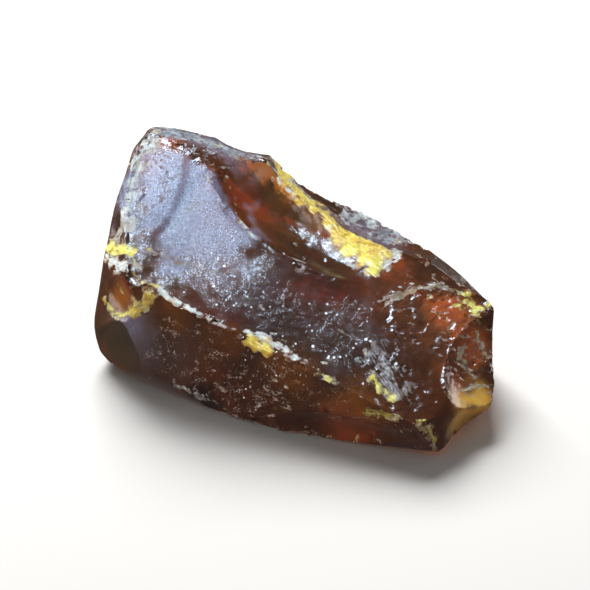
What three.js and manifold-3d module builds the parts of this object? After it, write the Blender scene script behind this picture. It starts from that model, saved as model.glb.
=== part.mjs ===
// A raw piece of amber: one natural lump, broken on every side, that rests on a flat foot.
// The lump is the hull of its outer corners. Shell-shaped chips are then cut out of its edges
// and faces, the way resin breaks. Millimetres, +Z up, +X along the lump.
import * as THREE from "three";
import { ConvexGeometry } from "three/addons/geometries/ConvexGeometry.js";
import { mergeVertices } from "three/addons/utils/BufferGeometryUtils.js";
import Module from "manifold-3d";

const wasm = await Module();
wasm.setup();

const MIDDLE = [0.8, -0.7, 0]; // the middle of the foot, which becomes the origin
const ROUNDNESS = 2.5; // how deep a chip's ball stands above the surface, in chip depths
const FINENESS = 8; // splits of each edge of a chip's ball, which starts with twenty faces

// Outer corners, as [x, y, z]. The broad face slopes down from the left end to the right.
const BROAD_FACE = [
  [-21.2, 2.9, 19.7], [-15.4, 5.0, 18.7], [-10.4, 7.3, 18.0], [-22.0, 0.5, 19.2],
  [-20.3, -3.3, 17.7], [-16.1, -9.7, 14.9], [-3.7, 7.4, 16.3], [1.6, 6.9, 14.7],
  [8.6, 8.4, 13.3], [13.9, 8.3, 11.9], [21.0, 8.3, 10.0],
];
const RIDGE = [
  [-12.7, -13.5, 13.0], [-9.5, -13.1, 12.3], [-2.1, -11.9, 10.6], [3.8, -9.7, 9.7],
  [8.7, -9.1, 8.5], [15.9, -8.6, 6.8], [20.2, -7.9, 5.8], [22.2, -8.3, 5.2],
];
const BACK_EDGE = [
  [-23.2, 4.5, 19.0], [-20.0, 6.3, 18.9], [-16.4, 6.9, 18.3], [-11.5, 9.6, 17.6], [-6.1, 9.5, 15.4],
  [-1.1, 11.0, 13.8], [1.7, 12.6, 12.6], [8.8, 12.5, 10.8], [12.8, 12.0, 10.2], [15.8, 11.1, 9.8],
];
const LEFT_END = [
  [-23.9, 1.7, 17.0], [-22.0, -3.8, 14.5], [-20.9, -6.1, 12.5], [-18.4, -11.0, 12.0],
  [-17.5, -12.4, 8.5], [-17.8, -14.1, 4.5], [-16.6, -15.3, 1.5], [-13.2, -15.4, 7.0],
];
const RIGHT_END = [
  [25.5, 2.1, 4.5], [25.5, 0.9, 3.0], [24.1, -4.0, 2.2], [23.5, -6.4, 0.6], [22.2, 6.1, 8.5],
];
const LOWER_BACK = [
  [-21.0, 8.0, 10.0], [-12.0, 13.0, 8.0], [-1.0, 14.5, 6.5], [9.0, 14.0, 5.0], [17.5, 12.0, 3.5],
];
const FOOT = [
  [-15.1, -15.2, 0.8], [-8.5, -15.5, 2.6], [-4.5, -13.9, 0], [0.4, -14.0, 0], [6.1, -13.1, 0],
  [8.8, -11.8, 0], [14.8, -9.8, 0], [21.0, -6.5, 0], [22.5, 1.0, 0], [20.0, 8.0, 0],
  [10.0, 12.5, 0], [-4.0, 12.5, 0], [-13.0, 10.5, 0], [-19.0, 5.0, 0], [-18.0, -6.0, 0],
  [-14.0, -12.0, 0],
];

// Chips: at a point of the surface, facing outward, longest along a direction. Length and
// breadth are measured across the chip's rim on the surface, depth is its lowest point below it.
const CHIPS = [
  { name: "great scoop by the back edge", at: [-3.2, 3.2, 15.3], facing: [0.26, -0.1, 0.96],
    along: [0.96, -0.03, -0.27], length: 24.5, breadth: 9.8, depth: 2.7 },
  { name: "flake off the back edge", at: [2.2, 9.6, 14.2], facing: [0.14, 0.52, 0.84],
    along: [0.93, -0.05, -0.35], length: 23.0, breadth: 10.0, depth: 2.2 },
  { name: "hollow right end", at: [22.6, 1.4, 6.9], facing: [0.72, 0.0, 0.69],
    along: [0.3, -0.85, -0.3], length: 12.5, breadth: 9.0, depth: 1.6 },
  { name: "bite below the tooth", at: [25.2, -2.4, 1.6], facing: [0.9, -0.4, 0.1],
    along: [0.1, 0.3, 1.0], length: 8.0, breadth: 7.0, depth: 1.6 },
  { name: "facet at the left end of the ridge", at: [-13.5, -14.4, 10.1], facing: [-0.35, -0.9, 0.28],
    along: [0.95, -0.25, -0.2], length: 9.0, breadth: 5.4, depth: 1.1 },
  { name: "notch in the left edge", at: [-17.8, -10.2, 13.4], facing: [-0.6, -0.4, 0.7],
    along: [0.7, -0.6, -0.2], length: 6.5, breadth: 4.0, depth: 0.9 },
  { name: "scoop low on the front", at: [12.0, -11.2, 1.6], facing: [0.33, -0.94, 0.1],
    along: [0.95, 0.33, 0.0], length: 17.5, breadth: 4.6, depth: 0.8 },
  { name: "left dish in the broad face", at: [-18.7, -2.4, 17.7], facing: [0.18, -0.25, 0.95],
    along: [0.35, -0.9, -0.3], length: 13.5, breadth: 5.0, depth: 0.5 },
  { name: "middle dish in the broad face", at: [-9.4, -3.8, 14.8], facing: [0.27, -0.25, 0.93],
    along: [0.9, -0.3, -0.3], length: 16.0, breadth: 13.0, depth: 0.6 },
  { name: "right dish in the broad face", at: [14.4, 3.4, 10.6], facing: [0.26, -0.22, 0.94],
    along: [0.95, 0.2, -0.25], length: 13.0, breadth: 7.5, depth: 0.55 },
  { name: "nick in the top edge", at: [-13.2, 8.0, 18.0], facing: [-0.1, 0.75, 0.65],
    along: [0.9, 0.3, -0.2], length: 5.5, breadth: 3.0, depth: 0.6 },
  { name: "large scoop in the back", at: [-9.5, 12.6, 8.6], facing: [-0.15, 0.88, 0.45],
    along: [0.95, 0.1, -0.2], length: 22.0, breadth: 12.5, depth: 2.3 },
  { name: "second scoop in the back", at: [12.0, 12.9, 3.6], facing: [0.28, 0.95, 0.1],
    along: [0.95, -0.25, -0.15], length: 21.0, breadth: 12.0, depth: 1.6 },
  { name: "scoop in the left end", at: [-20.9, 2.6, 7.6], facing: [-0.96, 0.2, -0.2],
    along: [0.05, 0.75, 0.65], length: 19.0, breadth: 12.0, depth: 1.8 },
  { name: "flake off the foot, back left", at: [-15.6, 9.4, 1.8], facing: [-0.5, 0.75, -0.4],
    along: [0.85, 0.5, 0.1], length: 13.0, breadth: 7.5, depth: 1.3 },
  { name: "flake off the foot, right", at: [22.4, 5.0, 1.2], facing: [0.8, 0.45, -0.4],
    along: [-0.4, 0.9, 0.1], length: 11.0, breadth: 6.0, depth: 1.0 },
];

const vector = (p) => new THREE.Vector3(...p);

function solidOf(geometry) {
  geometry.deleteAttribute("normal");
  geometry.deleteAttribute("uv");
  const merged = mergeVertices(geometry, 1e-4);
  return new wasm.Manifold(
    new wasm.Mesh({
      numProp: 3,
      vertProperties: merged.attributes.position.array,
      triVerts: new Uint32Array(merged.index.array),
    }),
  );
}

// The ball that cuts one chip: a stretched sphere, centred above the surface.
function chipTool({ at, facing, along, length, breadth, depth }) {
  const up = vector(facing).normalize();
  const forward = vector(along).projectOnPlane(up).normalize();
  const across = new THREE.Vector3().crossVectors(up, forward);
  const lift = ROUNDNESS * depth;
  const reach = depth + lift;
  const spread = Math.sqrt(1 - (lift / reach) ** 2);
  const place = new THREE.Matrix4()
    .makeBasis(forward, across, up)
    .setPosition(vector(at).addScaledVector(up, lift))
    .scale(new THREE.Vector3(length / 2 / spread, breadth / 2 / spread, reach));
  return solidOf(new THREE.IcosahedronGeometry(1, FINENESS).applyMatrix4(place));
}

const corners = [BROAD_FACE, RIDGE, BACK_EDGE, LEFT_END, RIGHT_END, LOWER_BACK, FOOT].flat();
let lump = solidOf(new ConvexGeometry(corners.map(vector)));
for (const chip of CHIPS) lump = lump.subtract(chipTool(chip));

function meshOf(solid) {
  const { numProp, numVert, vertProperties, triVerts } = solid.getMesh();
  const points = new Float32Array(numVert * 3);
  for (let i = 0; i < numVert; i++) {
    points.set(vertProperties.subarray(i * numProp, i * numProp + 3), i * 3);
  }
  const geometry = new THREE.BufferGeometry()
    .setAttribute("position", new THREE.BufferAttribute(points, 3))
    .setIndex(new THREE.BufferAttribute(triVerts, 1));
  geometry.computeVertexNormals();
  return geometry;
}

const amber = new THREE.Mesh(
  meshOf(lump),
  new THREE.MeshStandardMaterial({ color: 0x5a2a12, roughness: 0.35, metalness: 0 }),
);
amber.name = "amber";
amber.position.set(...MIDDLE).negate();

const piece = new THREE.Group();
piece.add(amber);
export default piece;
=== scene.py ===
"""A raw lump of amber: the broken, frosted and crusted skin of the solid lump.

The features' sizes and places are in millimetres, in the lump's own frame: +X along the lump,
+Z up, the origin on the flat foot.
"""

import math

import bpy
import numpy as np
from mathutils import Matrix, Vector


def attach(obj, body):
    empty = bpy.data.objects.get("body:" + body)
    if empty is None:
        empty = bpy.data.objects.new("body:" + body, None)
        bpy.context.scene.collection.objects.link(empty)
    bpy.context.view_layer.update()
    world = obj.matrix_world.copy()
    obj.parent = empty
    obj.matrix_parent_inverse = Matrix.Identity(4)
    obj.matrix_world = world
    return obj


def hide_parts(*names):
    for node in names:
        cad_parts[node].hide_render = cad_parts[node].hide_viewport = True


MM = 0.001
FINENESS = 0.217  # how far apart the skin's points are
MIDDLE = np.array([0.8, -0.7, 0.0])  # from the chips' own origin to the lump's
ROUNDNESS = 2.5  # how far a chip's ball is centred above the surface, in chip depths
BROAD_FACE = np.array([0.247, -0.253, 0.935])  # outward from the broad face
BROAD_HEIGHT = 12.43

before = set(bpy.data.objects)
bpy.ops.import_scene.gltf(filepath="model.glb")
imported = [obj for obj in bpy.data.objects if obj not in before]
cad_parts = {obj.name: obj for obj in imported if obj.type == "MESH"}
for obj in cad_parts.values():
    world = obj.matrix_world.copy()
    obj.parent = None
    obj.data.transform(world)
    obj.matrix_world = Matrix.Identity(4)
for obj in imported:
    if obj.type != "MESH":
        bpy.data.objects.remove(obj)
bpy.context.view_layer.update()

# ------------------------------------------------------------------ where things are on the lump

# Shell-shaped chips as the solid has them: middle, outward, along, length, breadth, depth, then
# which end the blow came from (-1 or 1), the spacing of its ripples and their height.
CHIPS = (
    ((-3.2, 3.2, 15.3), (0.26, -0.1, 0.96), (0.96, -0.03, -0.27), 24.5, 9.8, 2.7, -1, 1.9, 0.030),
    ((2.2, 9.6, 14.2), (0.14, 0.52, 0.84), (0.93, -0.05, -0.35), 23.0, 10.0, 2.2, 1, 1.5, 0.050),
    ((22.6, 1.4, 6.9), (0.72, 0.0, 0.69), (0.3, -0.85, -0.3), 12.5, 9.0, 1.6, -1, 1.6, 0.040),
    ((25.2, -2.4, 1.6), (0.9, -0.4, 0.1), (0.1, 0.3, 1.0), 8.0, 7.0, 1.6, 1, 0.9, 0.040),
    ((-13.5, -14.4, 10.1), (-0.35, -0.9, 0.28), (0.95, -0.25, -0.2), 9.0, 5.4, 1.1, 1, 1.1, 0.010),
    ((-17.8, -10.2, 13.4), (-0.6, -0.4, 0.7), (0.7, -0.6, -0.2), 6.5, 4.0, 0.9, -1, 0.8, 0.060),
    ((12.0, -11.2, 1.6), (0.33, -0.94, 0.1), (0.95, 0.33, 0.0), 17.5, 4.6, 0.8, 1, 1.4, 0.030),
    ((-18.7, -2.4, 17.7), (0.18, -0.25, 0.95), (0.35, -0.9, -0.3), 13.5, 5.0, 0.5, -1, 1.3, 0.0),
    ((-9.4, -3.8, 14.8), (0.27, -0.25, 0.93), (0.9, -0.3, -0.3), 16.0, 13.0, 0.6, 1, 2.3, 0.0),
    ((14.4, 3.4, 10.6), (0.26, -0.22, 0.94), (0.95, 0.2, -0.25), 13.0, 7.5, 0.55, -1, 1.3, 0.030),
    ((-13.2, 8.0, 18.0), (-0.1, 0.75, 0.65), (0.9, 0.3, -0.2), 5.5, 3.0, 0.6, 1, 0.7, 0.040),
    ((-9.5, 12.6, 8.6), (-0.15, 0.88, 0.45), (0.95, 0.1, -0.2), 22.0, 12.5, 2.3, -1, 1.8, 0.14),
    ((12.0, 12.9, 3.6), (0.28, 0.95, 0.1), (0.95, -0.25, -0.15), 21.0, 12.0, 1.6, 1, 1.6, 0.12),
    ((-20.9, 2.6, 7.6), (-0.96, 0.2, -0.2), (0.05, 0.75, 0.65), 19.0, 12.0, 1.8, 1, 1.7, 0.12),
    ((-15.6, 9.4, 1.8), (-0.5, 0.75, -0.4), (0.85, 0.5, 0.1), 13.0, 7.5, 1.3, 1, 1.2, 0.10),
    ((22.4, 5.0, 1.2), (0.8, 0.45, -0.4), (-0.4, 0.9, 0.1), 11.0, 6.0, 1.0, -1, 1.0, 0.060),
)

# Colours of the crust, and of the resin where light shines through it.
LEMON = (0.98, 0.88, 0.16)
GOLD = (0.94, 0.70, 0.06)
CHALK = (0.80, 0.82, 0.78)
BONE = (0.74, 0.67, 0.48)
# SILVER_SHEEN_AND_CRUST is partly crust and partly painted sheen and reflection on edges and torn places.
SILVER_SHEEN_AND_CRUST = (0.45, 0.48, 0.51)
TAN = (0.42, 0.31, 0.17)
BROWN = (0.62, 0.175, 0.035)
RED_BROWN = (0.62, 0.17, 0.04)
VIOLET = (0.32, 0.17, 0.13)
OLIVE = (0.50, 0.31, 0.05)
AMBER = (0.92, 0.27, 0.02)
HONEY = (1.0, 0.54, 0.08)
EMBER = (0.75, 0.15, 0.03)
HUSK = (0.66, 0.42, 0.08)
PAINTED_BLUE_SHEEN = (0.30, 0.31, 0.44)
SMOKE = (0.34, 0.19, 0.06)
NEAR_BLACK = (0.07, 0.055, 0.05)

# Most points of the crust paths and the bruised places, and many of the crackled places, were worked out
# outside this script by casting them onto the solid. They are not worked out from the frame.

# Weathered crust, as paths along the surface; some paths are painted sheen or painted highlight
# instead: colour, half width, cover, how ragged the cover is, how much it hides the resin, and the path.
CRUST = (
    (LEMON, 0.95, 1.0, 0.5, 0.85, ((-19.7, -8.7, 12.2), (-18.1, -9.2, 12.8), (-15.9, -9.8, 13.9))),
    (TAN, 0.40, 0.75, 0.8, 0.45,
     ((-16.0, -9.3, 14.6), (-13.8, -8.7, 14.2), (-11.9, -7.9, 13.7), (-10.3, -7.5, 13.3))),
    (CHALK, 0.80, 0.85, 1.0, 0.75, ((-18.5, -10.3, 12.2), (-16.0, -11.7, 12.6), (-14.3, -11.1, 13.7))),
    (CHALK, 0.95, 0.80, 1.2, 0.7,
     ((-21.8, 2.6, 19.0), (-21.9, 0.5, 18.4), (-21.0, -2.0, 17.5), (-19.7, -4.4, 16.7), (-19.2, -6.3, 15.7),
      (-17.3, -7.3, 15.5), (-18.9, -7.5, 13.5))),
    (CHALK, 0.80, 0.95, 0.7, 0.85, ((-22.3, 1.6, 18.7), (-21.4, 2.6, 18.9))),
    # Painted reflection: this silver path and the one further down run along the top back edge and stand in for
    # its grey sheen.
    (SILVER_SHEEN_AND_CRUST, 0.70, 0.85, 0.9, 0.7,
     ((-22.4, 4.2, 19.5), (-18.3, 6.6, 18.8), (-14.4, 7.3, 18.4), (-11.5, 9.0, 17.8))),
    (CHALK, 0.28, 0.75, 1.0, 0.7, ((-22.0, 3.3, 19.4), (-17.8, 5.0, 19.0), (-15.4, 6.0, 18.6))),
    # Partly painted reflection: these pale paths behind the yellow ridge stand in for its silvery sheen as well
    # as crust.
    (CHALK, 0.70, 0.80, 1.0, 0.75, ((-1.0, 13.3, 11.9), (1.3, 13.0, 11.4), (3.6, 8.6, 12.6))),
    (SILVER_SHEEN_AND_CRUST, 0.80, 0.80, 1.1, 0.7, ((3.9, 13.4, 11.0), (6.3, 12.7, 10.8), (3.5, 11.2, 11.2))),
    (CHALK, 0.30, 0.75, 1.0, 0.7, ((4.1, 13.5, 11.0), (7.8, 13.2, 10.8))),
    (CHALK, 0.60, 1.0, 0.8, 0.85, ((7.6, 5.9, 12.4), (8.0, 7.6, 12.7), (6.4, 10.6, 11.5))),
    (TAN, 0.42, 0.85, 1.1, 0.7,
     ((10.3, 1.6, 10.6), (10.6, 3.3, 10.8), (11.9, 5.9, 11.1), (13.8, 7.6, 11.3))),
    (CHALK, 0.16, 0.85, 1.0, 0.7, ((9.9, 4.4, 11.3), (11.6, 6.4, 11.4), (13.2, 6.6, 11.0))),
    (TAN, 0.30, 0.75, 1.4, 0.7,
     ((8.5, 11.2, 11.1), (11.6, 8.6, 12.2), (13.7, 8.1, 11.5), (15.7, 7.8, 10.9), (17.3, 7.7, 10.4))),
    (LEMON, 0.75, 0.95, 0.6, 0.8, ((16.7, 8.7, 10.9), (18.6, 7.6, 10.0), (19.1, 8.9, 10.3))),
    (BONE, 0.42, 0.85, 0.9, 0.7, ((19.5, 4.0, 7.5), (19.7, 2.7, 6.9))),
    (BONE, 0.34, 0.85, 0.9, 0.7, ((19.6, 7.0, 8.8), (20.0, 6.0, 7.4))),
    (TAN, 0.22, 0.85, 1.0, 0.7, ((15.4, -0.6, 8.7), (17.0, -1.3, 8.1))),
    (CHALK, 0.22, 0.70, 1.2, 0.7, ((-5.9, -14.2, 1.9), (-3.7, -13.9, 1.7), (-1.4, -13.5, 0.9))),
    (TAN, 0.30, 0.85, 1.2, 0.7, ((20.9, -7.7, 5.3), (22.0, -6.6, 3.1), (22.3, -6.0, 1.1))),
    (CHALK, 0.22, 0.80, 1.1, 0.8, ((-9.3, 9.0, 16.7), (-7.9, 7.9, 15.9), (-5.9, 7.8, 15.0))),
    # Painted reflection along the top back edge, as above.
    (SILVER_SHEEN_AND_CRUST, 0.60, 0.80, 0.7, 0.6,
     ((-23.5, 4.8, 19.2), (-20.7, 6.3, 19.0), (-17.4, 6.7, 18.7), (-14.1, 6.9, 18.4), (-11.4, 8.1, 18.0))),
    (GOLD, 1.45, 1.0, 0.7, 0.88,
     ((-9.7, 10.6, 15.8), (-6.9, 8.9, 15.2), (-4.9, 9.0, 14.2), (-2.4, 8.9, 13.6), (0.4, 7.4, 13.5),
      (2.8, 6.6, 12.8), (5.2, 6.3, 12.7), (7.0, 7.0, 13.0))),
    (LEMON, 1.65, 1.0, 0.8, 0.9, ((2.8, 6.5, 12.8), (4.8, 5.8, 12.6), (6.2, 5.8, 12.6))),
    (LEMON, 0.35, 0.9, 0.6, 0.8,
     ((-6.9, 9.4, 15.3), (-4.9, 9.6, 14.2), (-2.4, 9.4, 13.6), (0.4, 8.2, 13.5))),
    (CHALK, 0.45, 0.9, 0.7, 0.85, ((7.0, 7.0, 13.0), (7.6, 8.0, 12.9), (6.8, 9.4, 12.2))),
    (CHALK, 0.18, 0.8, 0.7, 0.6,
     ((-9.9, 10.1, 16.2), (-8.9, 7.8, 16.2), (-8.2, 6.9, 15.4), (-6.6, 7.0, 14.9), (-4.7, 7.2, 14.4),
      (-2.6, 7.0, 13.6))),
    (CHALK, 0.32, 0.75, 1.0, 0.6, ((0.8, 5.4, 12.3), (3.3, 4.5, 11.7), (5.0, 4.6, 11.6))),
    # Partly painted reflection behind the yellow ridge, as above.
    (CHALK, 0.85, 0.75, 1.1, 0.6, ((-2.4, 12.4, 12.2), (-0.2, 11.1, 11.8), (-0.3, 12.9, 11.7))),
    (SILVER_SHEEN_AND_CRUST, 0.60, 0.7, 1.1, 0.6, ((2.7, 10.8, 11.4), (3.6, 12.8, 11.0))),
    (LEMON, 0.55, 0.85, 0.8, 0.75,
     ((16.8, 6.8, 10.1), (17.1, 8.2, 10.6), (18.1, 8.9, 10.5), (19.2, 9.0, 10.3))),
    (TAN, 0.20, 0.75, 0.9, 0.6,
     ((9.7, 4.4, 11.4), (10.9, 6.1, 11.6), (12.5, 6.7, 11.2), (12.9, 7.7, 11.6))),
    (TAN, 0.35, 0.80, 0.8, 0.6, ((9.6, 1.7, 10.9), (10.2, 3.2, 10.9), (11.4, 4.9, 10.9))),
    (BONE, 0.40, 0.75, 1.0, 0.6, ((19.5, 3.6, 7.3), (20.4, 2.7, 6.1), (21.6, 2.9, 5.0))),
    (BONE, 0.34, 0.75, 1.0, 0.6, ((20.5, 6.1, 6.9), (21.2, 5.6, 6.1))),
    (BONE, 0.30, 0.80, 0.8, 0.6, ((21.6, -0.3, 5.2), (22.0, 1.2, 4.7), (22.7, 2.9, 4.3), (23.5, 3.8, 4.2))),
    (HUSK, 0.22, 0.75, 0.7, 0.5, ((22.1, 0.3, 4.7), (23.0, 1.0, 4.1), (23.9, 2.8, 3.9))),
    (HUSK, 0.22, 0.75, 0.7, 0.5, ((22.6, -1.0, 4.6), (23.5, -0.6, 3.9), (24.1, 0.6, 3.6))),
    (LEMON, 0.42, 0.95, 0.7, 0.8, ((-13.4, -12.5, 13.0), (-12.5, -12.3, 12.9), (-10.7, -11.7, 12.6))),
    (CHALK, 0.50, 1.0, 0.6, 0.85,
     ((-10.6, -11.8, 12.5), (-8.3, -12.1, 11.8), (-6.5, -11.8, 11.5), (-4.6, -11.4, 11.1),
      (-2.5, -11.2, 10.6))),
    (CHALK, 0.26, 0.95, 0.7, 0.8, ((-2.5, -11.2, 10.6), (-0.9, -10.6, 10.3), (0.4, -9.9, 10.2))),
    (CHALK, 0.55, 1.0, 0.5, 0.9,
     ((0.4, -9.9, 10.2), (1.8, -9.3, 9.9), (3.6, -9.4, 9.4), (5.5, -9.2, 9.0), (7.4, -9.2, 8.5))),
    (CHALK, 0.28, 0.9, 0.8, 0.75,
     ((7.4, -9.2, 8.5), (9.5, -9.0, 8.0), (11.4, -8.8, 7.6), (13.2, -8.6, 7.1), (15.7, -8.3, 6.5),
      (18.5, -7.6, 6.0))),
    (GOLD, 0.85, 1.0, 0.5, 0.8, ((1.4, -10.5, 9.3), (2.6, -10.6, 9.2), (3.2, -10.5, 8.9))),
    (LEMON, 0.60, 1.0, 0.6, 0.85, ((0.9, -10.1, 9.9), (2.2, -10.1, 9.8), (3.1, -9.9, 9.4))),
    (LEMON, 0.45, 0.80, 0.8, 0.55,
     ((-17.7, -12.5, 8.2), (-15.9, -13.5, 7.8), (-14.3, -13.8, 8.0), (-13.0, -13.4, 9.1))),
    (GOLD, 0.95, 0.85, 0.9, 0.55,
     ((-13.0, -13.4, 9.1), (-11.5, -13.2, 10.5), (-10.7, -12.7, 11.6), (-11.1, -12.5, 12.5))),
    (CHALK, 0.24, 0.80, 0.7, 0.6, ((-17.3, -12.9, 8.0), (-15.9, -13.7, 7.5), (-14.5, -14.0, 7.6))),
    (LEMON, 0.50, 0.90, 0.7, 0.7, ((8.3, -9.1, 8.3), (9.5, -9.2, 7.9), (10.7, -8.9, 7.6))),
    (LEMON, 0.72, 0.95, 0.5, 0.85, ((14.4, -6.0, 7.5), (15.4, -6.4, 7.1), (17.0, -6.6, 6.6))),
    (CHALK, 0.20, 0.80, 1.0, 0.7, ((12.3, -3.8, 8.6), (14.3, -4.4, 8.0), (16.8, -5.1, 7.1))),
    (CHALK, 0.20, 0.75, 1.1, 0.7, ((13.5, -2.9, 8.6), (15.5, -3.5, 7.9), (17.4, -4.4, 7.1))),
    (CHALK, 0.16, 0.75, 1.1, 0.7, ((13.0, -5.0, 8.1), (14.6, -5.3, 7.6))),
    (LEMON, 0.62, 0.72, 0.5, 0.45, ((15.5, -8.9, 5.1), (17.0, -8.5, 5.2), (18.7, -8.2, 5.3))),
    (LEMON, 0.38, 0.80, 1.0, 0.65,
     ((20.4, -7.3, 5.6), (21.6, -7.1, 5.0), (22.0, -6.4, 3.6), (22.3, -6.0, 2.4))),
    (TAN, 0.19, 0.75, 0.6, 0.5,
     ((8.6, -10.8, 0.9), (11.7, -9.6, 3.0), (15.3, -9.1, 4.2), (18.7, -8.4, 4.5), (20.2, -7.7, 3.9))),
    # Painted highlight: this wide silver path over the torn place stands in for its bright combed highlights.
    (SILVER_SHEEN_AND_CRUST, 1.60, 0.62, 1.0, 0.6, ((12.6, -3.9, 8.4), (14.6, -4.8, 7.8), (17.0, -5.6, 6.8))),
    # Painted highlight: these two thin pale paths along the scoop's lower rim stand in for its bright rim line.
    (TAN, 0.22, 0.95, 0.4, 0.7, ((-13.0, 4.8, 16.6), (-10.8, 3.4, 15.1), (-9.1, 1.3, 14.9))),
    (CHALK, 0.22, 1.0, 0.35, 0.8,
     ((-9.1, 1.3, 14.9), (-6.5, 0.1, 14.3), (-4.2, -0.2, 13.8), (-2.2, 0.2, 13.3), (-0.0, 1.5, 12.2))),
    (CHALK, 0.22, 0.60, 1.2, 0.6,
     ((-5.3, -14.1, 1.6), (-1.6, -13.5, 0.5), (2.3, -12.9, 0.2), (4.6, -12.5, 0.2))),
    (SILVER_SHEEN_AND_CRUST, 0.34, 0.80, 1.1, 0.7,
     ((-6.6, -14.2, 2.2), (-4.6, -14.0, 1.7), (-2.8, -13.7, 1.4), (-0.8, -13.3, 0.7))),
    (TAN, 0.45, 0.85, 1.0, 0.7,
     ((-21.0, 8.0, 15.0), (-17.5, 10.5, 14.0), (-12.0, 13.0, 13.5), (-7.0, 14.0, 12.0))),
    (CHALK, 0.35, 0.85, 1.1, 0.7, ((9.0, 14.5, 8.5), (14.0, 13.0, 8.0), (18.5, 10.5, 8.0))),
    (LEMON, 0.50, 0.90, 0.9, 0.8, ((-12.0, 14.0, 3.0), (-8.0, 15.0, 2.0), (-3.0, 15.0, 1.2))),
    (TAN, 0.40, 0.80, 1.1, 0.7, ((3.0, 15.0, 1.0), (9.0, 14.5, 0.8), (15.0, 12.0, 0.6))),
    (GOLD, 0.45, 0.90, 0.9, 0.75, ((-23.5, 3.0, 12.0), (-22.0, 0.0, 8.0), (-19.5, -4.0, 4.5))),
    (CHALK, 0.35, 0.80, 1.1, 0.7, ((-20.0, 8.0, 10.0), (-18.0, 9.5, 5.0), (-16.5, 9.8, 1.5))),
    (TAN, 0.07, 0.55, 0.7, 0.35,
     ((-7.6, -12.9, 8.5), (-5.7, -12.4, 8.8), (-4.5, -12.5, 7.5), (-4.6, -13.0, 6.0), (-6.0, -13.9, 3.4))),
    (TAN, 0.07, 0.55, 0.7, 0.35,
     ((-7.0, -13.4, 6.3), (-7.2, -13.8, 4.8), (-8.4, -14.5, 3.2), (-9.9, -14.5, 1.6))),
)

# Where the resin under the skin has another colour: colour, middle, reach, strength, and how milky.
GLOWS = (
    (VIOLET, (-16.0, -2.0, 16.8), 9.0, 0.9, 0.10),
    (RED_BROWN, (-14.0, 4.6, 17.0), 3.4, 0.8, 0.13),
    (RED_BROWN, (-8.0, 3.6, 14.0), 5.5, 0.9, 0.15),
    (RED_BROWN, (13.0, 3.0, 10.0), 8.0, 0.9, 0.19),
    (VIOLET, (2.0, -5.0, 11.0), 10.0, 0.9, 0.07),
    (VIOLET, (11.0, -4.0, 9.0), 8.0, 0.9, 0.10),
    (VIOLET, (-9.0, -13.6, 6.0), 6.5, 0.9, 0.16),
    # Painted sheen: these two pale blue, milky patches on the left of the front face stand in for a reflection.
    (PAINTED_BLUE_SHEEN, (-12.6, -14.2, 7.2), 3.6, 1.0, 0.44),
    (PAINTED_BLUE_SHEEN, (-10.6, -14.3, 5.0), 2.6, 0.5, 0.30),
    (OLIVE, (-8.4, 7.2, 15.6), 2.8, 0.6, 0.16),
    (OLIVE, (-3.4, 6.0, 13.0), 3.6, 0.5, 0.14),
    (OLIVE, (-15.0, -14.6, 3.6), 3.6, 0.8, 0.14),
    (AMBER, (-15.2, -12.2, 9.8), 2.8, 1.0, 0.24),
    (AMBER, (-8.0, -12.4, 10.2), 3.0, 0.9, 0.12),
    (AMBER, (-1.5, -11.4, 9.0), 3.0, 0.7, 0.10),
    (AMBER, (6.0, -10.0, 7.6), 4.0, 0.8, 0.14),
    (AMBER, (14.0, -9.0, 5.0), 4.5, 0.9, 0.15),
    (HONEY, (22.6, -1.8, 2.2), 2.8, 0.9, 0.46),
    (HONEY, (23.2, 0.3, 4.2), 3.4, 1.0, 0.62),
    (SMOKE, (22.0, 1.2, 4.9), 1.1, 0.7, 0.20),
    (BROWN, (23.6, -0.5, 3.9), 0.9, 0.7, 0.30),
    (SMOKE, (-9.8, 7.6, 16.6), 2.6, 0.8, 0.10),
    (EMBER, (-10.3, 5.0, 15.2), 2.6, 0.8, 0.13),
    (EMBER, (-20.6, 3.8, 19.3), 1.5, 0.6, 0.18),
    (AMBER, (-6.4, 8.2, 15.0), 2.2, 0.7, 0.20),
    (AMBER, (-2.6, 7.9, 13.6), 2.2, 0.7, 0.22),
    (AMBER, (0.6, 6.4, 13.0), 2.2, 0.7, 0.22),
    (EMBER, (8.3, 5.8, 12.2), 2.4, 0.9, 0.24),
    (EMBER, (16.5, 5.2, 9.7), 3.4, 1.0, 0.46),
    (EMBER, (19.9, 4.9, 7.2), 3.2, 1.0, 0.58),
    (EMBER, (20.6, 0.5, 6.2), 3.0, 0.9, 0.36),
    (EMBER, (13.3, -9.2, 1.6), 4.6, 1.0, 0.22),
    # Near-black resin low on the front face, by the foot.
    (NEAR_BLACK, (-3.2, -13.8, 1.4), 2.8, 0.8, 0.04),
)

# Where the skin is matt, and painted with a bluish sheen that stands in for a reflection: middle, reach
# and strength. Neither is there in the gap.
FROSTED_AND_SHEEN = (
    ((-17.0, -0.5, 16.8), 8.5, 1.0),
    ((-11.0, -3.0, 15.0), 8.0, 0.9),
    ((-4.0, -5.0, 12.6), 7.0, 0.16),
    ((-17.0, 7.0, 18.6), 8.0, 0.6),
    ((2.0, 11.5, 11.6), 5.5, 0.6),
)
FROST_GAP = (
    (-22.2, 3.0, 19.3), (-19.9, 3.7, 19.2), (-17.6, 4.4, 18.7), (-15.1, 4.8, 18.0), (-13.0, 4.6, 16.5),
    (-10.8, 3.4, 15.1), (-8.0, 1.4, 14.4),
)
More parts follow.
